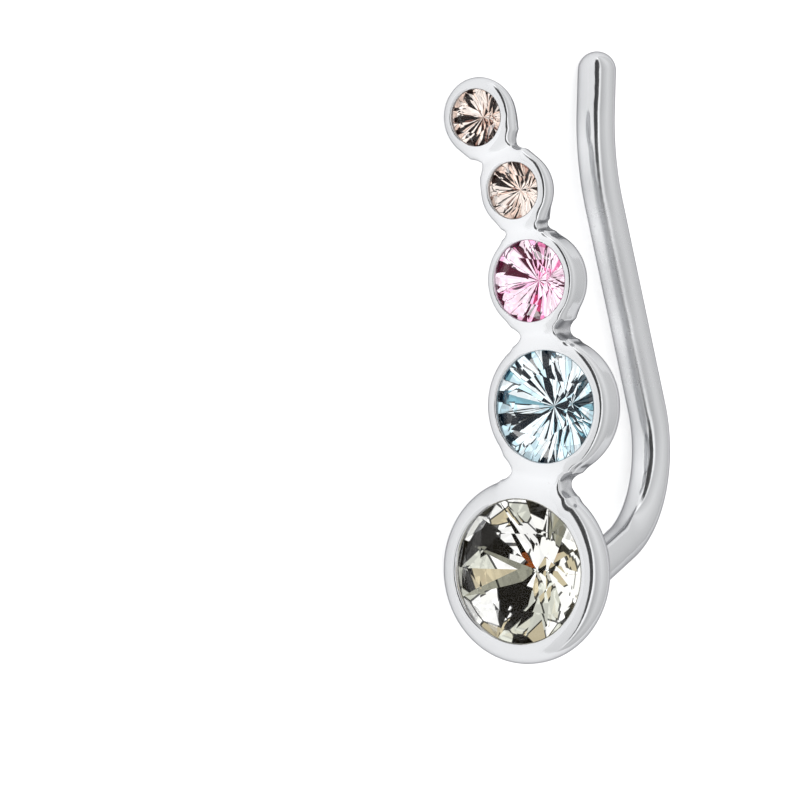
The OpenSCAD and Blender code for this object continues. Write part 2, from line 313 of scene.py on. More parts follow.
def neck(item, upper, lower, shape, x, y, z):
    """A web between two bezels, narrowed by two round cuts"""
    s, w = item.space / MM, item.neck / MM
    cut = FILLET_EXCESS * (upper.r * s + s * s / 4 + w * w / 4) / (2 * upper.r - w)
    way_x, way_y = sin(item.lean), cos(item.lean)
    dx = x - (upper.x - (upper.r + s / 2) * way_x)
    dy = y - (upper.y - (upper.r + s / 2) * way_y)
    across, along = dx * way_y - dy * way_x, dx * way_x + dy * way_y
    sides = cut - np.hypot(np.abs(across) - w / 2 - cut, along)
    ends = np.maximum(along - upper.r / 2, -along - lower.r / 2)
    outline = np.maximum(np.maximum(sides, ends), np.abs(across) - w / 2 - cut / 2)
    web = rounded_cut(outline, z + shape.neck_drop / MM, NECK_EDGE)
    return rounded_cut(web, -z - item.deep / MM, NECK_BACK)


def heading(a):
    """The direction at an angle"""
    return np.array([cos(a), sin(a)])


def leftward(a):
    """The direction to the left of the one at an angle"""
    return np.array([-sin(a), cos(a)])


def hook(shape, big, x, y, z):
    """The wire along its route of three straight stretches and two bends"""
    across = (x - shape.hook_x / MM) * cos(shape.side_lean) - y * sin(shape.side_lean)
    u = -z
    v = (x - shape.hook_x / MM) * sin(shape.side_lean) + y * cos(shape.side_lean)
    long_way, tip_way = pi / 2 + shape.long_lean, pi / 2 - shape.tip_lean
    start = np.array([big.depth - shape.floor / MM / 2, -shape.hook_drop / MM])
    r1, r2 = shape.lower_bend / MM, shape.upper_bend / MM
    leg_end = start + shape.leg / MM * heading(shape.leg_rise)
    lower = leg_end + r1 * leftward(shape.leg_rise)
    lower_end = lower - r1 * leftward(long_way)
    long_end = lower_end + shape.long / MM * heading(long_way)
    upper = long_end - r2 * leftward(long_way)
    upper_end = upper + r2 * leftward(tip_way)
    tip_end = upper_end + shape.tip / MM * heading(tip_way)

    def stretch(a, b):
        way = (b - a) / np.linalg.norm(b - a)
        along = np.clip((u - a[0]) * way[0] + (v - a[1]) * way[1], 0, np.linalg.norm(b - a))
        return np.hypot(u - a[0] - along * way[0], v - a[1] - along * way[1])

    def bend(middle, r, first, last):
        a = np.arctan2(v - middle[1], u - middle[0])
        mid, half = (first + last) / 2, (last - first) / 2
        off = np.abs((a - mid + pi) % (2 * pi) - pi)
        return np.where(off <= half, np.abs(np.hypot(u - middle[0], v - middle[1]) - r), np.inf)

    route = stretch(start, leg_end)
    for part in (stretch(lower_end, long_end), stretch(upper_end, tip_end),
                 bend(lower, r1, shape.leg_rise - pi / 2, long_way - pi / 2),
                 bend(upper, r2, tip_way + pi / 2, long_way + pi / 2)):
        route = np.minimum(route, part)
    return np.hypot(route, across) - shape.wire / MM / 2


def metal_field(settings):
    """A function that gives the distance from the metal's surface at any points"""
    shape, items = settings.shape, list(settings.bezels)
    bezels = bezels_of(settings)

    def field(x, y, z):
        row = bezels[0].body(x, y, z, shape)
        for i in range(1, len(bezels)):
            row = filleted(row, bezels[i].body(x, y, z, shape), shape.crevice / MM)
        for i in range(len(bezels) - 1):
            web = neck(items[i], bezels[i], bezels[i + 1], shape, x, y, z)
            row = filleted(row, web, shape.blend / MM)
        metal = filleted(row, hook(shape, bezels[-1], x, y, z), shape.solder / MM)
        for b in bezels:
            metal = b.hollow(metal, x, y, z)
        return metal

    return field


# The corners of a mesh cell, and its edges as pairs of them
CORNERS = np.array([(i & 1, i >> 1 & 1, i >> 2 & 1) for i in range(8)])
EDGES = ((0, 1), (2, 3), (4, 5), (6, 7), (0, 2), (1, 3), (4, 6), (5, 7), (0, 4), (1, 5), (2, 6),
         (3, 7))
# Layers of cells that are worked out at once, to save memory
SLAB = 24
# How often the mesh is drawn on to the surface, and the least slope that it counts with
SETTLE_ROUNDS = 3
LEAST_SLOPE = 0.25
# Step in millimetres over which a slope is measured, and what keeps a division from nought
SLOPE_STEP = 0.004
TINY = 1e-9


def surface(field, low, high, cell):
    """Vertices and quads of the field's zero surface"""
    counts = np.ceil((np.array(high) - low) / cell).astype(int) + 1
    gx, gy, gz = (low[k] + cell * np.arange(counts[k]) for k in range(3))
    values = np.concatenate([
        field(gx[i:i + SLAB, None, None].astype(np.float32), gy[None, :, None].astype(np.float32),
              gz[None, None, :].astype(np.float32)).astype(np.float32)
        for i in range(0, counts[0], SLAB)])
    inside = values < 0
    n = counts - 1
    total = sum(inside[a:a + n[0], b:b + n[1], c:c + n[2]].astype(np.int8) for a, b, c in CORNERS)
    cells = np.argwhere((total > 0) & (total < 8))
    at = cells[:, None, :] + CORNERS[None]
    v = values[at[..., 0], at[..., 1], at[..., 2]]
    place, hits = np.zeros((len(cells), 3)), np.zeros(len(cells))
    for a, b in EDGES:
        crossed = (v[:, a] < 0) != (v[:, b] < 0)
        t = np.where(crossed, v[:, a] / np.where(crossed, v[:, a] - v[:, b], 1), 0)
        place += crossed[:, None] * (CORNERS[a] + t[:, None] * (CORNERS[b] - CORNERS[a]))
        hits += crossed
    points = low + cell * (cells + place / hits[:, None])
    number = np.full(n, -1, np.int32)
    number[cells[:, 0], cells[:, 1], cells[:, 2]] = np.arange(len(cells))
    quads = []
    for axis in range(3):
        j, k = (axis + 1) % 3, (axis + 2) % 3
        along = [slice(None)] * 3
        along[axis] = slice(1, None)
        before = [slice(None)] * 3
        before[axis] = slice(None, -1)
        change = inside[tuple(along)] != inside[tuple(before)]
        edge = np.argwhere(change)
        edge = edge[(edge[:, j] > 0) & (edge[:, k] > 0)
                    & (edge[:, j] < n[j]) & (edge[:, k] < n[k])]
        corners = []
        for dj, dk in ((0, 0), (-1, 0), (-1, -1), (0, -1)):
            cell_at = edge.copy()
            cell_at[:, j] += dj
            cell_at[:, k] += dk
            corners.append(number[cell_at[:, 0], cell_at[:, 1], cell_at[:, 2]])
        quad = np.stack(corners, 1)
        flip = ~inside[edge[:, 0], edge[:, 1], edge[:, 2]]
        quad[flip] = quad[flip][:, ::-1]
        quads.append(quad)
    for _ in range(SETTLE_ROUNDS):
        slope = gradient(field, points)
        size = np.maximum((slope ** 2).sum(1), LEAST_SLOPE)
        push = field(*points.T)[:, None] * slope / size[:, None]
        reach = np.linalg.norm(push, axis=1, keepdims=True)
        points -= push * np.minimum(1, cell / np.maximum(reach, TINY))
    return points, np.concatenate(quads)


def gradient(field, points):
    """The field's slope at each point"""
    x, y, z = points.T
    h = SLOPE_STEP
    return np.stack([field(x + h, y, z) - field(x - h, y, z),
                     field(x, y + h, z) - field(x, y - h, z),
                     field(x, y, z + h) - field(x, y, z - h)], 1) / (2 * h)


def placed(points):
    """Points of the bezels' plane, in millimetres, as metres in the part's own frame"""
    turn = np.array([RIGHT, ALONG, NEAR])
    return np.asarray(points) @ turn * MM + np.array(MIDDLE)


def plane_matrix():
    """Turns and moves the bezels' plane into the part's own frame"""
    turn = Matrix((RIGHT, ALONG, NEAR)).transposed().to_4x4()
    return Matrix.Translation(MIDDLE) @ turn


# ---- Node helpers ----


class Nodes:
    """Adds nodes to a tree and links them in one call"""

    def __init__(self, tree):
        self.tree = tree

    def add(self, kind, links=None, **values):
        node = self.tree.nodes.new(kind)
        for key, value in values.items():
            setattr(node, key, value)
        for socket, source in (links or {}).items():
            target = node.inputs[socket]
            if isinstance(source, bpy.types.NodeSocket):
                self.tree.links.new(source, target)
            else:
                target.default_value = source
        return node

    def math(self, operation, a, b=0.0):
        return self.add("ShaderNodeMath", {0: a, 1: b}, operation=operation).outputs[0]

    def vector(self, operation, a, b=None, scale=None):
        links = {0: a} if b is None else {0: a, 1: b}
        if scale is not None:
            links["Scale"] = scale
        node = self.add("ShaderNodeVectorMath", links, operation=operation)
        return node.outputs["Value" if operation in ("DOT_PRODUCT", "LENGTH") else "Vector"]

    def attribute(self, name, output="Fac"):
        return self.add("ShaderNodeAttribute", attribute_name=name).outputs[output]


def ramp(nodes, factor, stops, stepped=False):
    """A colour ramp through the given places and values"""
    node = nodes.add("ShaderNodeValToRGB", {0: factor})
    node.color_ramp.interpolation = "CONSTANT" if stepped else "LINEAR"
    points = node.color_ramp.elements
    while len(points) < len(stops):
        points.new(0.5)
    for point, (place, value) in zip(points, stops):
        point.position = place
        point.color = (*value, 1.0) if hasattr(value, "__len__") else (value, value, value, 1.0)
    return node.outputs[0]


def new_material(name):
    """An empty node material, and what adds nodes to it"""
    material = bpy.data.materials.new(name)
    material.use_nodes = True
    material.node_tree.nodes.clear()
    return material, Nodes(material.node_tree)


def finish_material(nodes, shader):
    """Links the shader to the material's output"""
    nodes.add("ShaderNodeOutputMaterial", {"Surface": shader.outputs[0]})


# Waves of hand polishing and fine hairlines: how many to a metre, and their depth in metres
WAVES = {"Scale": 620.0, "Detail": 1.0}
WAVE_BUMP = {"Strength": 0.5, "Distance": 0.00008}
HAIRS = {"Scale": 9000.0, "Detail": 2.0}
HAIR_BUMP = {"Strength": 0.05, "Distance": 0.000004}
# Roughness by the hairlines, and what a crease and the hook's dull middle add to it
HAIR_ROUGH = ((0.3, 0.1), (0.7, 0.13))
CREASE_ROUGH = 0.3
WIRE_ROUGH = 0.17
# Where the wire is dull, by shares of the row's height
ROW_HEIGHT = 20 * MM
DULL = ((0.2, 0.0), (0.32, 1.0), (0.6, 1.0), (0.75, 0.0))
# How a crease counts, and the painted shade that a deep one gives the silver's colour
CREASE = ((0.1, 0.0), (0.9, 1.0))
CREASE_PAINTED_SHADE = ((0.0, (1.0, 1.0, 1.0)), (1.0, (0.6, 0.6, 0.61)))
# Painted light in the silver's colour: how much lighter the necks' fronts are painted, a painted
# highlight, and how much darker the wire is painted, a painted shade
NECK_PAINTED_HIGHLIGHT = 0.2
WIRE_PAINTED_SHADE = 0.06


def silver_material(finish):
    """Polished silver: soft waves of hand polishing, fine hairlines, painted shade in the creases,
    a painted highlight on the necks' fronts and a painted shade on the wire
    """
    material, nodes = new_material("Polished silver")
    math, attribute = nodes.math, nodes.attribute
    where = nodes.add("ShaderNodeTexCoord").outputs["Object"]
    wire = attribute("wire")
    waves = nodes.add("ShaderNodeTexNoise", {"Vector": where, **WAVES}).outputs["Fac"]
    hairs = nodes.add("ShaderNodeTexNoise", {"Vector": where, **HAIRS}).outputs["Fac"]
    wavy = nodes.add("ShaderNodeBump", {"Height": waves, **WAVE_BUMP}).outputs[0]
    fine = nodes.add("ShaderNodeBump", {"Height": hairs, "Normal": wavy, **HAIR_BUMP}).outputs[0]
    up = math("SUBTRACT", nodes.vector("DOT_PRODUCT", where, ALONG), MIDDLE.dot(ALONG))
    dull = ramp(nodes, math("DIVIDE", up, ROW_HEIGHT), DULL)
    # Painted shade: the silver's colour is darker in deep creases, and it is rougher there
    deep = ramp(nodes, attribute("crease"), CREASE)
    # Painted highlight: the necks' forward-facing fronts are lighter
    lift = math("ADD", 1.0, math("MULTIPLY", attribute("neck"), NECK_PAINTED_HIGHLIGHT))
    # Painted shade: the whole wire is a little darker than the bezels
    lift = math("SUBTRACT", lift, math("MULTIPLY", wire, WIRE_PAINTED_SHADE))
    tone = nodes.vector("SCALE", finish.silver, scale=lift)
    tone = nodes.vector("MULTIPLY", tone, ramp(nodes, deep, CREASE_PAINTED_SHADE))
    rough = math("ADD", ramp(nodes, hairs, HAIR_ROUGH),
                 math("MULTIPLY", wire, math("MULTIPLY", dull, WIRE_ROUGH)))
    rough = math("ADD", rough, math("MULTIPLY", deep, CREASE_ROUGH))
    shader = nodes.add("ShaderNodeBsdfPrincipled", {
        "Base Color": tone, "Metallic": 1.0, "Roughness": rough, "Normal": fine,
        "Specular Tint": (*finish.edge, 1.0)})
    finish_material(nodes, shader)
    return material


# The facets go by their shade from 0 to 1: those at the low end are painted darker, a painted
# shade, those at the high end mirror the light
PAINTED_DARK_FACETS = ((0.0, (0.5, 0.5, 0.5)), (0.1, (1.0, 1.0, 1.0)))
MIRRORS = ((0.0, 0.0), (0.8, 0.35))
MIRROR_COLOUR = (0.8, 0.8, 0.8, 1.0)
GLASS_TINT = (0.15, 0.15, 0.15, 1.0)


def crystal_material(glass):
    """Clear glass; a few facets round the table mirror the light, and a few are painted darker, a
    painted shade
    """
    material, nodes = new_material(glass.name + " crystal")
    shade = nodes.attribute("facet_shade")
    # Painted shade: the lowest facet shades halve the light that passes a facet
    clear = nodes.add("ShaderNodeBsdfPrincipled", {
        "Base Color": ramp(nodes, shade, PAINTED_DARK_FACETS, True), "Roughness": 0.0, "IOR": glass.bend,
        "Transmission Weight": 1.0, "Specular Tint": GLASS_TINT})
    mirror = nodes.add("ShaderNodeBsdfAnisotropic", {"Color": MIRROR_COLOUR, "Roughness": 0.0})
    mixed = nodes.add("ShaderNodeMixShader", {
        0: ramp(nodes, shade, MIRRORS, True), 1: clear.outputs[0], 2: mirror.outputs[0]})
    finish_material(nodes, mixed)
    return material


# How far apart the facets' shades, and the seeds, lie in the pattern of painted fires: painted
# reflections, glints and shade on the foil
FACET_STEP = 3.0
SEED_STEP = 3.7
# Painted fires that run outwards are painted darker near the rim, a painted shade
RIM_DARK = {"From Min": 0.6, "From Max": 1.05, "To Min": 0.0, "To Max": 0.3}
# Where the middling, pale and bright fires start, as shares of those neither dark nor rare
MIDDLE_FROM = 0.05
PALE_FROM = 0.13
BRIGHT_FROM = 0.4
SPARK_SHARE = 1 / 3
# Thin painted dark lines between the painted fires
PAINTED_DARK_LINES = ((0.0, 0.1), (0.03, 1.0))
# The foil's own mirror share and roughness, and its painted glow: the painted fires shine from the
# foil though it is no lamp
FOIL_MIRROR = 0.35
FOIL_ROUGH = 0.02
FOIL_PAINTED_GLOW = 0.92


def foil_material(glass, seed):
    """Mirror foil under the stone, with the painted dark and bright fires of a cut back: painted
    reflections, glints and shade, which also glow
    """
    material, nodes = new_material("%s foil %d" % (glass.name, seed))
    math = nodes.math
    place = nodes.attribute("cut_place", "Vector")
    flat = nodes.add("ShaderNodeSeparateXYZ", {0: place}).outputs
    out = nodes.vector("LENGTH", place)
    if glass.rays > 0.5:
        turn = math("ARCTAN2", flat["Y"], flat["X"])
        across, along = math("MULTIPLY", turn, glass.round / pi), math("MULTIPLY", out, glass.out)
    else:
        across, along = (math("MULTIPLY", flat["X"], glass.round),
                         math("MULTIPLY", flat["Y"], glass.out))
    level = math("ADD", math("MULTIPLY", nodes.attribute("facet_shade"), FACET_STEP),
                 seed * SEED_STEP)
    spread = nodes.add("ShaderNodeCombineXYZ", {"X": across, "Y": along, "Z": level}).outputs[0]
    fires = nodes.add("ShaderNodeTexVoronoi", {"Vector": spread, "Scale": 1.0})
    border = nodes.add("ShaderNodeTexVoronoi", {"Vector": spread, "Scale": 1.0},
                       feature="DISTANCE_TO_EDGE").outputs["Distance"]
    lot = nodes.add("ShaderNodeSeparateColor", {0: fires.outputs["Color"]}).outputs["Red"]
    # Painted shade: fires that run outwards are darker near the rim
    if glass.rays > 0.5:
        rim = nodes.add("ShaderNodeMapRange", {"Value": out, **RIM_DARK}).outputs[0]
        lot = math("SUBTRACT", lot, rim)
    rest = 1.0 - glass.dark - glass.rare
    # The painted fires as the foil's colour: painted shade for the dark ones, painted reflections
    # for the pale and bright ones, painted glints for the flashes
    tint = ramp(nodes, lot, (
        (0.0, glass.black), (glass.dark, glass.deep),
        (glass.dark + MIDDLE_FROM * rest, glass.middle),
        (glass.dark + PALE_FROM * rest, glass.pale),
        (glass.dark + BRIGHT_FROM * rest, glass.bright),
        (1.0 - glass.rare, glass.flash), (1.0 - glass.rare * SPARK_SHARE, glass.spark)), True)
    # Painted dark lines between the painted fires
    lined = nodes.vector("MULTIPLY", tint, ramp(nodes, border, PAINTED_DARK_LINES, True))
    # The painted fires tint the foil's mirror and also glow from it, a painted glow
    shader = nodes.add("ShaderNodeBsdfPrincipled", {
        "Base Color": nodes.vector("SCALE", lined, scale=FOIL_MIRROR), "Metallic": 1.0,
        "Roughness": FOIL_ROUGH, "Emission Color": lined, "Emission Strength": FOIL_PAINTED_GLOW})
    finish_material(nodes, shader)
    return material


# ---- The stones, by geometry nodes ----

STONE_INPUTS = (
    ("Radius", "NodeSocketFloat"), ("Table", "NodeSocketFloat"),
    ("Crown Angle", "NodeSocketFloat"), ("Pavilion Angle", "NodeSocketFloat"),
    ("Girdle", "NodeSocketFloat"), ("Cut", "NodeSocketInt"), ("Place", "NodeSocketVector"),
    ("Turn", "NodeSocketVector"), ("Seed", "NodeSocketInt"), ("Crystal", "NodeSocketMaterial"),
    ("Foil", "NodeSocketMaterial"))
# A facet that faces further forward than this is the table, and one that faces further back is
# a back facet
TABLE_FACES = 0.95
BACK_FACES = -0.1
TABLE_SHADE = 0.5
POINT_RADIUS = 1e-7


def stone_tree():
    """A round brilliant: the hull of six rings of corners, with the foil on its back facets"""
    tree = bpy.data.node_groups.new("Round brilliant", "GeometryNodeTree")
    for name, kind in STONE_INPUTS:
        tree.interface.new_socket(name, in_out="INPUT", socket_type=kind)
    tree.interface.new_socket("Geometry", in_out="OUTPUT", socket_type="NodeSocketGeometry")
    nodes = Nodes(tree)
    given = nodes.add("NodeGroupInput").outputs
    math = nodes.math
    radius, cut = given["Radius"], given["Cut"]
    half_turn = math("DIVIDE", pi, cut)
    in_half = math("COSINE", half_turn)
    crown_rise = math("MULTIPLY", radius, math("TANGENT", given["Crown Angle"]))
    back_fall = math("MULTIPLY", radius, math("TANGENT", given["Pavilion Angle"]))
    table_z = math("MULTIPLY", math("SUBTRACT", 1.0, given["Table"]), crown_rise)
    star_z = math("MULTIPLY", math("SUBTRACT", 1.0, math("MULTIPLY", STAR, in_half)), crown_rise)
    half_z = math("MULTIPLY", math("SUBTRACT", 1.0, math("MULTIPLY", HALF, in_half)), back_fall)
    under = math("MULTIPLY", given["Girdle"], -1.0)
    double = math("MULTIPLY", cut, 2.0)

    def ring(count, width, height, turn=0.0):
        corners = nodes.add("GeometryNodeMeshCircle", {"Vertices": count, "Radius": width})
        lift = nodes.add("ShaderNodeCombineXYZ", {"Z": height})
        spin = nodes.add("ShaderNodeCombineXYZ", {"Z": turn})
        return nodes.add("GeometryNodeTransform", {
            "Geometry": corners.outputs[0], "Translation": lift.outputs[0],
            "Rotation": spin.outputs[0]}).outputs[0]

    rings = (
        ring(cut, math("MULTIPLY", radius, given["Table"]), table_z),
        ring(cut, math("MULTIPLY", radius, STAR), star_z, half_turn),
        ring(double, radius, 0.0),
        ring(double, radius, under),
        ring(cut, math("MULTIPLY", radius, HALF), math("SUBTRACT", under, half_z), half_turn),
        ring(3, POINT_RADIUS, math("SUBTRACT", under, back_fall)))
    joined = nodes.add("GeometryNodeJoinGeometry")
    for corners in rings:
        tree.links.new(corners, joined.inputs[0])
    hull = nodes.add("GeometryNodeConvexHull", {0: joined.outputs[0]})
    normal = nodes.add("GeometryNodeInputNormal").outputs[0]
    facing = nodes.add("ShaderNodeSeparateXYZ", {0: normal})
    chance = nodes.add("FunctionNodeRandomValue", {"Seed": given["Seed"]}, data_type="FLOAT")
    flat_top = math("GREATER_THAN", facing.outputs["Z"], TABLE_FACES)
    # The table has the middle shade, so that it stays clear
    shade = math("ADD", math("MULTIPLY", chance.outputs[1], math("SUBTRACT", 1.0, flat_top)),
                 math("MULTIPLY", flat_top, TABLE_SHADE))
    shaded = nodes.add("GeometryNodeStoreNamedAttribute", {
        "Geometry": hull.outputs[0], "Name": "facet_shade", "Value": shade},
        data_type="FLOAT", domain="FACE")
    position = nodes.add("GeometryNodeInputPosition").outputs[0]
    share_of = nodes.vector("SCALE", position, scale=math("DIVIDE", 1.0, radius))
    tagged = nodes.add("GeometryNodeStoreNamedAttribute", {
        "Geometry": shaded.outputs[0], "Name": "cut_place", "Value": share_of},
        data_type="FLOAT_VECTOR", domain="POINT")
    behind = nodes.add("FunctionNodeCompare", {"A": facing.outputs["Z"], "B": BACK_FACES},
                       data_type="FLOAT", operation="LESS_THAN")
    marked = nodes.add("GeometryNodeStoreNamedAttribute", {
        "Geometry": tagged.outputs[0], "Name": "is_back", "Value": behind.outputs[0]},
        data_type="BOOLEAN", domain="FACE")
    seated = nodes.add("GeometryNodeTransform", {
        "Geometry": marked.outputs[0], "Translation": given["Place"], "Rotation": given["Turn"]})
    real = nodes.add("GeometryNodeRealizeInstances", {0: seated.outputs[0]})
    front = nodes.add("GeometryNodeSetMaterial", {
        "Geometry": real.outputs[0], "Material": given["Crystal"]})
    back_faces = nodes.add("GeometryNodeInputNamedAttribute", {"Name": "is_back"},
                           data_type="BOOLEAN")
    back = nodes.add("GeometryNodeSetMaterial", {
        "Geometry": front.outputs[0], "Selection": back_faces.outputs[0],
        "Material": given["Foil"]})
    nodes.add("NodeGroupOutput", {0: back.outputs[0]})
    return tree


def made_by_nodes(name, tree, values):
    """A plain mesh object made by a geometry node tree with the given inputs"""
    carrier = bpy.data.objects.new(name + "_carrier", bpy.data.meshes.new(name + "_carrier"))
    bpy.context.scene.collection.objects.link(carrier)
    modifier = carrier.modifiers.new("Build", "NODES")
    modifier.node_group = tree
    for socket in tree.interface.items_tree:
        if socket.item_type == "SOCKET" and socket.in_out == "INPUT":
            value = values[socket.name]
            modifier[socket.identifier] = tuple(value) if hasattr(value, "__len__") else value
    bpy.context.view_layer.update()
    evaluated = carrier.evaluated_get(bpy.context.evaluated_depsgraph_get())
    mesh = bpy.data.meshes.new_from_object(evaluated)
    carrier.modifiers.remove(modifier)
    bpy.data.objects.remove(carrier)
    mesh.name = name
    return linked(name, mesh)


def keep_used_materials(mesh, used):
    """Drops the empty slot that the nodes leave before the given materials"""
    index = np.empty(len(mesh.polygons), np.int32)
    mesh.polygons.foreach_get("material_index", index)
    names = [m.name if m else "" for m in mesh.materials]
    place = {names.index(m.name): i for i, m in enumerate(used)}
    mesh.materials.clear()
    for material in used:
        mesh.materials.append(material)
    mesh.polygons.foreach_set("material_index", [place[i] for i in index.tolist()])


def linked(name, mesh):
    """A new object with the mesh, in the scene"""
    piece = bpy.data.objects.new(name, mesh)
    bpy.context.scene.collection.objects.link(piece)
    return piece


# ---- Operators ----

# How far behind the lips, and above the large bezel's middle, the hook reaches, in millimetres
HOOK_BACK = 9.6
HOOK_TOP = 17.95
ROOM = 4
# How near the surface must lie to the hook's own to be wire
WIRE_SKIN = 0.02
# How far out a crease is felt for, for the painted shade in creases, and how far from two bezels'
# edges a neck gets its painted highlight
CREASE_REACH = 0.6
NECK_HIGHLIGHT_REACH = 1.4
# A neck's front gets a painted highlight where it faces forward: from here, over this range
FRONT_FROM = 0.4
FRONT_RANGE = 0.5


def store(mesh, name, values):
    """Keeps a number for each corner of the mesh, which the silver reads"""
    attribute = mesh.attributes.new(name, "FLOAT", "POINT")
    attribute.data.foreach_set("value", np.asarray(values, np.float32))


class CLIMBER_OT_setting(Operator):
    """Build the five bezels, their necks and the soldered hook as one polished body"""
    bl_idname = "climber.setting"
    bl_label = "Setting and Hook"

    def execute(self, context):
        settings = context.scene.ear_climber
        bezels, field = bezels_of(settings), metal_field(settings)
        room = ROOM * settings.shape.grain / MM
        low = np.array([-bezels[-1].r, -bezels[-1].r, -HOOK_BACK]) - room
        high = np.array([max(b.x + b.r for b in bezels), HOOK_TOP, 0.0]) + room
        cell = settings.shape.grain / MM * 1
        points, quads = surface(field, low, high, cell)
        mesh = bpy.data.meshes.new("setting_and_hook_silver")
        mesh.from_pydata(placed(points).tolist(), [], quads.tolist())
        mesh.validate()
        mesh.shade_smooth()
        out = gradient(field, points)
        out /= np.linalg.norm(out, axis=1, keepdims=True)
        # How shut in each point is, from the free space along its normal: the silver paints shade
        # there
        free = field(*(points + CREASE_REACH * out).T) / CREASE_REACH
        store(mesh, "crease", np.clip(1 - free, 0, 1))
        # Where a neck's front faces forward between two bezels: the silver paints a highlight
        # there
        rims = np.sort([np.hypot(points[:, 0] - b.x, points[:, 1] - b.y) - b.r for b in bezels], 0)
        front = np.clip((out[:, 2] - FRONT_FROM) / FRONT_RANGE, 0, 1)
        store(mesh, "neck", front * np.clip(1 - rims[1] / NECK_HIGHLIGHT_REACH, 0, 1))
        # Which corners are wire: the silver paints them a little darker, a painted shade, and
        # duller in the wire's middle
        store(mesh, "wire", np.abs(hook(settings.shape, bezels[-1], *points.T)) < WIRE_SKIN)
        mesh.materials.append(silver_material(settings.finish))
        piece = linked("silver_setting_and_hook", mesh)
        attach(piece, "root")
        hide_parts("setting_and_hook")
        return {"FINISHED"}


class CLIMBER_OT_stones(Operator):
    """Cut the five stones and seat each in its bezel"""
    bl_idname = "climber.stones"
    bl_label = "Stones"

    def execute(self, context):
        settings = context.scene.ear_climber
        shape, tree = settings.shape, stone_tree()
        crystals = {glass.name: crystal_material(glass) for glass in settings.glasses}
        for item, bezel in zip(settings.bezels, bezels_of(settings)):
            glass = settings.glasses[item.glass]
            foil = foil_material(glass, item.fire_seed)
            seat = plane_matrix() @ Matrix.Translation(
                Vector((bezel.x, bezel.y, -bezel.rim)) * MM) @ Matrix.Rotation(item.turn, 4, "Z")
            stone = made_by_nodes("cut_" + item.node, tree, {
                "Radius": bezel.stone * MM, "Table": shape.table, "Crown Angle": shape.crown,
                "Pavilion Angle": shape.pavilion, "Girdle": shape.girdle, "Cut": shape.cut,
                "Place": seat.translation, "Turn": seat.to_euler(), "Seed": item.cut_seed,
                "Crystal": crystals[item.glass], "Foil": foil})
            keep_used_materials(stone.data, (crystals[item.glass], foil))
            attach(stone, "root")
            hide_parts(item.node)
        return {"FINISHED"}


# The image's size in pixels, a pixel's size at the part in millimetres, and where the large
# bezel's middle shows
IMAGE_SIZE = 800
PIXEL = 0.0345
MIDDLE_PIXEL = (517.1, 571.6)
# Width of the camera's film in millimetres, and the nearest and furthest that it sees in metres
SENSOR = 36.0
NEAREST = 0.01
FURTHEST = 10.0
# Brightness of the tent's upright panels, by degrees round the row from the view to the right
PANELS = ((-180, 0.8), (-120, 1.0), (-52, 0.82), (-5, 0.85), (8, 1.25), (15, 1.2), (28, 0.5),
          (70, 0.74), (105, 0.64), (150, 0.64), (180, 0.8))
# Brightness of the tent from its low to its high end
RISE = ((0.0, 0.85), (0.5, 1.0), (1.0, 1.15))
# The dark slit that the view comes through, in degrees: the heights of its foot and head, its
# half width at each, its soft edge, and where it ends and how softly; and the light left in it
SLIT_FOOT = -40
SLIT_HEAD = 35
SLIT_NARROW = 4
SLIT_WIDE = 15
SLIT_SOFT = 3
SLIT_END = 60
SLIT_FADE = 15
SLIT_LIGHT = 0.06
# Half the floor's side in metres, how many clouds of tone it shows to a metre, and the tones
FLOOR_SIZE = 3.0
FLOOR_CLOUDS = 12.0
FLOOR_TONES = ((0.3, 0.99), (0.7, 1.01))
# Light passes many facets before it leaves a stone
BOUNCES = 32


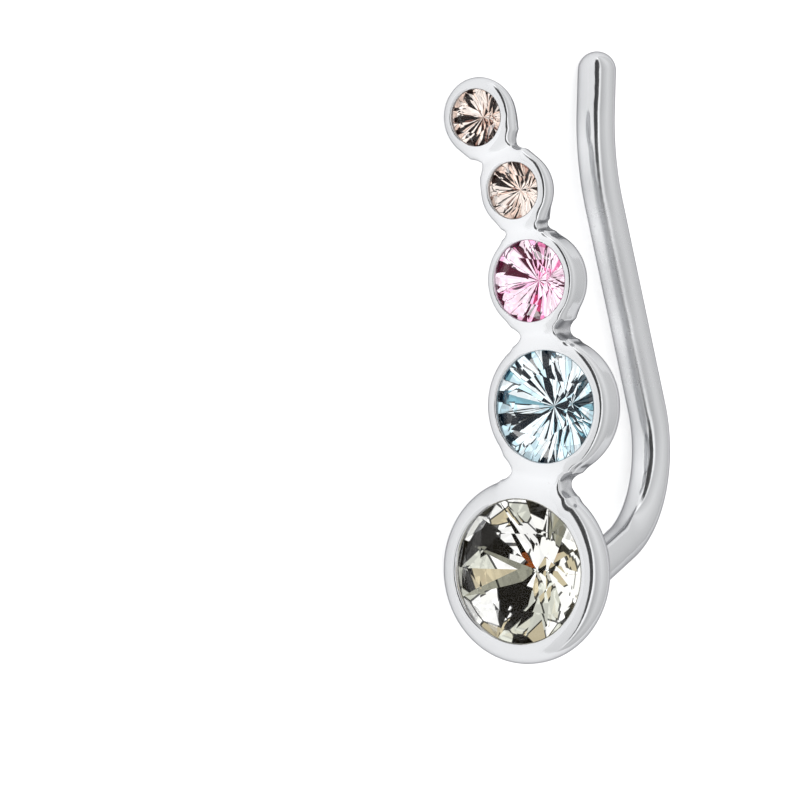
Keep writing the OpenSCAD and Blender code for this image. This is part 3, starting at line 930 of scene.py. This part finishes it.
class CLIMBER_OT_stage(Operator):
    """Lay the floor, light the studio and set up the camera"""
    bl_idname = "climber.stage"
    bl_label = "Stage"

    def execute(self, context):
        finish = context.scene.ear_climber.finish
        self.floor(finish)
        self.studio(context.scene, finish)
        self.camera(context.scene, finish)
        context.scene.view_settings.view_transform = "Standard"
        return {"FINISHED"}

    def floor(self, finish):
        """A matt pale floor"""
        mesh = bpy.data.meshes.new("floor")
        mesh.from_pydata([(x * FLOOR_SIZE, y * FLOOR_SIZE, 0.0) for x, y in
                          ((-1, -1), (1, -1), (1, 1), (-1, 1))], [], [(0, 1, 2, 3)])
        material, nodes = new_material("Floor")
        where = nodes.add("ShaderNodeTexCoord").outputs["Object"]
        clouds = nodes.add("ShaderNodeTexNoise", {"Vector": where, "Scale": FLOOR_CLOUDS})
        tone = ramp(nodes, clouds.outputs["Fac"], [(place, Vector(finish.floor) * tint)
                                                   for place, tint in FLOOR_TONES])
        shader = nodes.add("ShaderNodeBsdfPrincipled", {
            "Base Color": tone, "Roughness": 0.9, "Specular IOR Level": 0.0,
            "Emission Color": (1.0, 1.0, 1.0, 1.0), "Emission Strength": finish.glow})
        finish_material(nodes, shader)
        mesh.materials.append(material)
        linked("floor", mesh)

    def studio(self, scene, finish):
        """A bright tent with a dark opening where the view comes through"""
        world = bpy.data.worlds.new("Studio tent")
        scene.world = world
        world.use_nodes = True
        world.node_tree.nodes.clear()
        nodes = Nodes(world.node_tree)
        way = nodes.add("ShaderNodeTexCoord").outputs["Generated"]
        math = nodes.math
        right, up, back = (nodes.vector("DOT_PRODUCT", way, axis)
                           for axis in self.view_axes(finish))
        round_angle = math("ARCTAN2", right, back)
        panels = ramp(nodes, math("ADD", math("DIVIDE", round_angle, 2 * pi), 0.5),
                      [(angle / 360 + 0.5, value) for angle, value in PANELS])
        height = math("ARCSINE", up)
        half = nodes.add("ShaderNodeMapRange", {
            "Value": height, "From Min": radians(SLIT_FOOT), "From Max": radians(SLIT_HEAD),
            "To Min": radians(SLIT_NARROW), "To Max": radians(SLIT_WIDE)}).outputs[0]
        beside = nodes.add("ShaderNodeMapRange", {
            "Value": math("ABSOLUTE", round_angle), "From Min": half,
            "From Max": math("ADD", half, radians(SLIT_SOFT)), "To Min": SLIT_LIGHT,
            "To Max": 1.0}, interpolation_type="SMOOTHSTEP").outputs[0]
        beyond = nodes.add("ShaderNodeMapRange", {
            "Value": math("ABSOLUTE", height), "From Min": radians(SLIT_END),
            "From Max": radians(SLIT_END + SLIT_FADE), "To Min": 0.0, "To Max": 1.0},
            interpolation_type="SMOOTHSTEP").outputs[0]
        rise = ramp(nodes, math("ADD", math("MULTIPLY", up, 0.5), 0.5), RISE)
        glow = math("MULTIPLY", math("MULTIPLY", panels, rise), math("MAXIMUM", beside, beyond))
        light = nodes.add("ShaderNodeBackground", {
            "Color": (1, 1, 1, 1), "Strength": math("MULTIPLY", glow, finish.light)})
        nodes.add("ShaderNodeOutputWorld", {0: light.outputs[0]})
        scene.cycles.max_bounces = BOUNCES
        scene.cycles.glossy_bounces = BOUNCES
        scene.cycles.transmission_bounces = BOUNCES

    def view_axes(self, finish):
        """The image's right and up, and the way to the camera, in the part's own frame"""
        turn, roll = finish.view_turn, finish.view_roll
        flat = RIGHT * cos(turn) - NEAR * sin(turn)
        back = RIGHT * sin(turn) + NEAR * cos(turn)
        return flat * cos(roll) - ALONG * sin(roll), flat * sin(roll) + ALONG * cos(roll), back

    def camera(self, scene, finish):
        """The camera at the photograph's angle, level with the middle of the image"""
        right, up, back = self.view_axes(finish)
        half = IMAGE_SIZE / 2
        target = MIDDLE + ((half - MIDDLE_PIXEL[0]) * right
                           + (MIDDLE_PIXEL[1] - half) * up) * PIXEL * MM
        data = bpy.data.cameras.new("Camera")
        data.sensor_width = SENSOR
        data.lens = SENSOR * finish.view_distance / (IMAGE_SIZE * PIXEL * MM)
        data.clip_start, data.clip_end = NEAREST, FURTHEST
        camera = bpy.data.objects.new("Camera", data)
        scene.collection.objects.link(camera)
        camera.matrix_world = Matrix.Translation(target + back * finish.view_distance) @ Matrix(
            (right, up, back)).transposed().to_4x4()
        scene.camera = camera


class CLIMBER_PT_panel(Panel):
    """The ear climber's pieces, sizes and colours"""
    bl_label = "Ear Climber"
    bl_idname = "CLIMBER_PT_panel"
    bl_space_type = "VIEW_3D"
    bl_region_type = "UI"
    bl_category = "Ear Climber"

    def draw(self, context):
        settings = context.scene.ear_climber
        for operator in OPERATORS:
            self.layout.operator(operator.bl_idname)
        for item in (*settings.bezels, *settings.glasses):
            box = self.layout.box()
            box.label(text=item.name)
            self.list_sizes(box, item)
        for group in (settings.shape, settings.finish):
            self.list_sizes(self.layout.box(), group)

    def list_sizes(self, box, group):
        for key in group.bl_rna.properties.keys():
            if key not in ("rna_type", "name"):
                box.prop(group, key)


OPERATORS = (CLIMBER_OT_setting, CLIMBER_OT_stones, CLIMBER_OT_stage)
CLASSES = (ClimberBezel, ClimberGlass, ClimberShape, ClimberFinish, ClimberSettings, *OPERATORS,
           CLIMBER_PT_panel)


def register():
    for cls in CLASSES:
        bpy.utils.register_class(cls)
    bpy.types.Scene.ear_climber = PointerProperty(
        type=ClimberSettings, name="Ear Climber", description="All that the part is built from")


def unregister():
    del bpy.types.Scene.ear_climber
    for cls in reversed(CLASSES):
        bpy.utils.unregister_class(cls)


def fill_rows(settings):
    """Puts the tables at the top into the settings"""
    for row in ROWS:
        item = settings.bezels.add()
        for key in ("name", "glass", "node", "slot", "cut_seed", "fire_seed"):
            setattr(item, key, getattr(row, key))
        for key in ("diameter", "lip", "wall", "space", "neck", "deep"):
            setattr(item, key, getattr(row, key) * MM)
        item.lean, item.turn = radians(row.lean), radians(row.turn)
    for row in GLASSES:
        glass = settings.glasses.add()
        for key in Glass._fields:
            setattr(glass, key, getattr(row, key))


def main():
    register()
    fill_rows(bpy.context.scene.ear_climber)
    bpy.ops.climber.setting()
    bpy.ops.climber.stones()
    bpy.ops.climber.stage()


if __name__ == "__main__":
    main()
